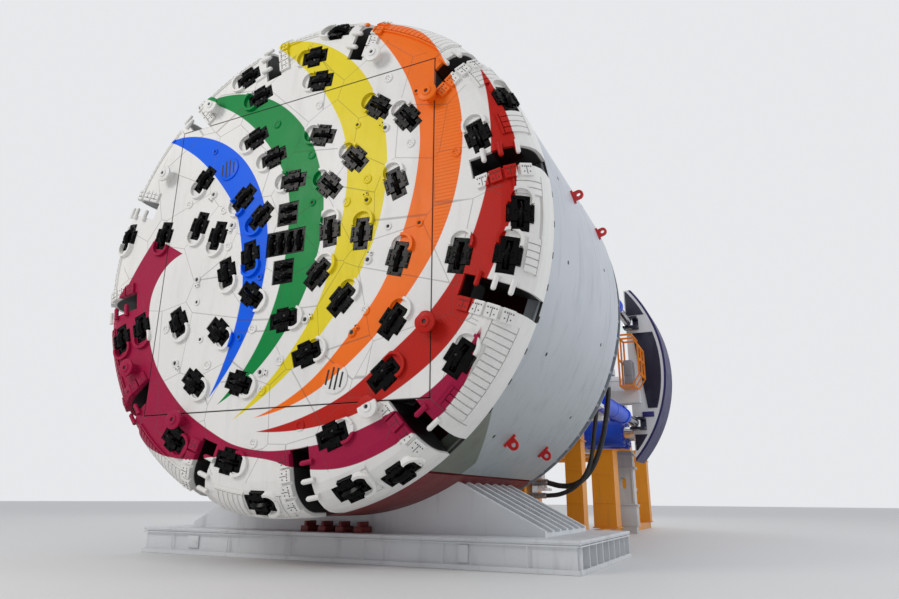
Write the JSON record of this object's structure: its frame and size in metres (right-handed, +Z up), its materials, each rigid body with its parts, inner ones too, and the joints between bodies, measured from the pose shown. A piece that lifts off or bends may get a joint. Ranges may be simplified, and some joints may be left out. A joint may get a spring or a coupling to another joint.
{
  "type": "tunnel boring machine",
  "caption": "Open-type hard-rock tunnel boring machine on its plinth: striped cutterhead with disc cutters, shield, main beam, grippers and propel cylinders.",
  "frame": {"origin": "on the floor at the middle of the plinth's footprint, on the machine's centre plane", "axes": "+Z up, +Y along the machine's axis from the cutting face to the rear, +X to the right when looking at the cutting face"},
  "size_m": [8.9858, 21.9603, 9.6799],
  "materials": {
    "white_paint": "gloss",
    "head_steel": "satin",
    "cutter_black": "gloss",
    "shield_grey": "satin",
    "primer_red": "satin",
    "lug_red": "satin",
    "bare_steel": "machined",
    "chrome_rod": "polished",
    "cylinder_blue": "gloss",
    "frame_white": "satin",
    "shoe_skin_paint": "satin",
    "deck_grey": "satin",
    "belt_rubber": "matt",
    "machine_orange": "satin",
    "stand_orange": "satin",
    "hose_rubber": "matt",
    "fitting_steel": "machined",
    "plinth_white": "satin"
  },
  "bodies": {
    "machine": {"plinth": "plinth_white", "cradle": "plinth_white", "stands": "stand_orange", "carrier_stands": "plinth_white", "shield_roof": "shield_grey", "shield_left": "shield_grey", "shield_right": "shield_grey", "shield_bottom": "primer_red", "shield_lugs": "lug_red", "bulkhead": "primer_red", "main_bearing": "bare_steel", "drive_motors": "cylinder_blue", "main_beam": "frame_white", "thrust_yoke": "frame_white", "conveyor_frame": "deck_grey", "conveyor_belt": "belt_rubber", "erector_track": "deck_grey", "drill_arch": "deck_grey", "decks": "deck_grey", "handrails": "machine_orange", "rear_support": "frame_white", "drawbar": "lug_red", "hose_large": "hose_rubber", "hose_small": "hose_rubber", "hose_fittings": "fitting_steel"},
    "cutterhead": {"head_body": "head_steel", "head_face": "white_paint", "head_rim": "white_paint", "centre_cutters": "cutter_black", "face_cutters": "cutter_black", "rim_cutters": "cutter_black", "bucket_pegs": "white_paint", "head_lugs": "white_paint"},
    "erector": {"ring_erector": "machine_orange"},
    "left_drill": {"drill_left": "machine_orange"},
    "right_drill": {"drill_right": "machine_orange"},
    "carrier": {"gripper_carrier": "frame_white", "gripper_cylinders": "cylinder_blue", "carrier_cages": "machine_orange"},
    "left_shoe": {"shoe_left": "frame_white", "shoe_skin_left": "shoe_skin_paint", "grip_rods_left": "chrome_rod"},
    "right_shoe": {"shoe_right": "frame_white", "shoe_skin_right": "shoe_skin_paint", "grip_rods_right": "chrome_rod"},
    "left_barrels": {"propel_barrels_left": "cylinder_blue"},
    "right_barrels": {"propel_barrels_right": "cylinder_blue"},
    "left_rods": {"propel_rods_left": "chrome_rod"},
    "right_rods": {"propel_rods_right": "chrome_rod"},
    "left_leg": {"rear_leg_left": "frame_white"},
    "right_leg": {"rear_leg_right": "frame_white"}
  },
  "joints": [
    {"name": "cutterhead_spin", "type": "hinge", "parent": "machine", "child": "cutterhead", "pos_m": [0, -3.6, 5.2], "axis": [0, 1, 0], "continuous": true},
    {"name": "erector_turn", "type": "hinge", "parent": "machine", "child": "erector", "pos_m": [0, 2.38, 5.2], "axis": [0, 1, 0], "range_deg": [-180, 180]},
    {"name": "left_drill_swing", "type": "hinge", "parent": "machine", "child": "left_drill", "pos_m": [0, 5.5, 5.2], "axis": [0, 1, 0], "range_deg": [-20, 20]},
    {"name": "right_drill_swing", "type": "hinge", "parent": "machine", "child": "right_drill", "pos_m": [0, 5.5, 5.2], "axis": [0, -1, 0], "range_deg": [-20, 20]},
    {"name": "propel_stroke", "type": "slide", "parent": "machine", "child": "carrier", "axis": [0, 1, 0], "range_m": [-1.2, 0.6]},
    {"name": "left_grip", "type": "slide", "parent": "carrier", "child": "left_shoe", "axis": [-1, 0, 0], "range_m": [0, 0.35]},
    {"name": "right_grip", "type": "slide", "parent": "carrier", "child": "right_shoe", "axis": [1, 0, 0], "range_m": [0, 0.35]},
    {"name": "left_barrel_swing", "type": "hinge", "parent": "machine", "child": "left_barrels", "pos_m": [-3.37, 4.1, 5.2], "axis": [0, 0, 1], "range_deg": [-0.5, 4.2]},
    {"name": "right_barrel_swing", "type": "hinge", "parent": "machine", "child": "right_barrels", "pos_m": [3.37, 4.1, 5.2], "axis": [0, 0, -1], "range_deg": [-0.5, 4.2]},
    {"name": "left_rod_stroke", "type": "slide", "parent": "left_barrels", "child": "left_rods", "axis": [0, 1, 0], "range_m": [-1.2, 0.6]},
    {"name": "right_rod_stroke", "type": "slide", "parent": "right_barrels", "child": "right_rods", "axis": [0, 1, 0], "range_m": [-1.2, 0.6]},
    {"name": "left_leg_stroke", "type": "slide", "parent": "machine", "child": "left_leg", "axis": [0, 0, 1], "range_m": [-0.8, 0]},
    {"name": "right_leg_stroke", "type": "slide", "parent": "machine", "child": "right_leg", "axis": [0, 0, 1], "range_m": [-0.8, 0]}
  ],
  "couplings": [
    {"joint": "left_barrel_swing", "follows": "left_grip", "rad_per_m": 0.177},
    {"joint": "right_barrel_swing", "follows": "right_grip", "rad_per_m": 0.177},
    {"joint": "left_rod_stroke", "follows": "propel_stroke", "ratio": 1},
    {"joint": "right_rod_stroke", "follows": "propel_stroke", "ratio": 1}
  ]
}
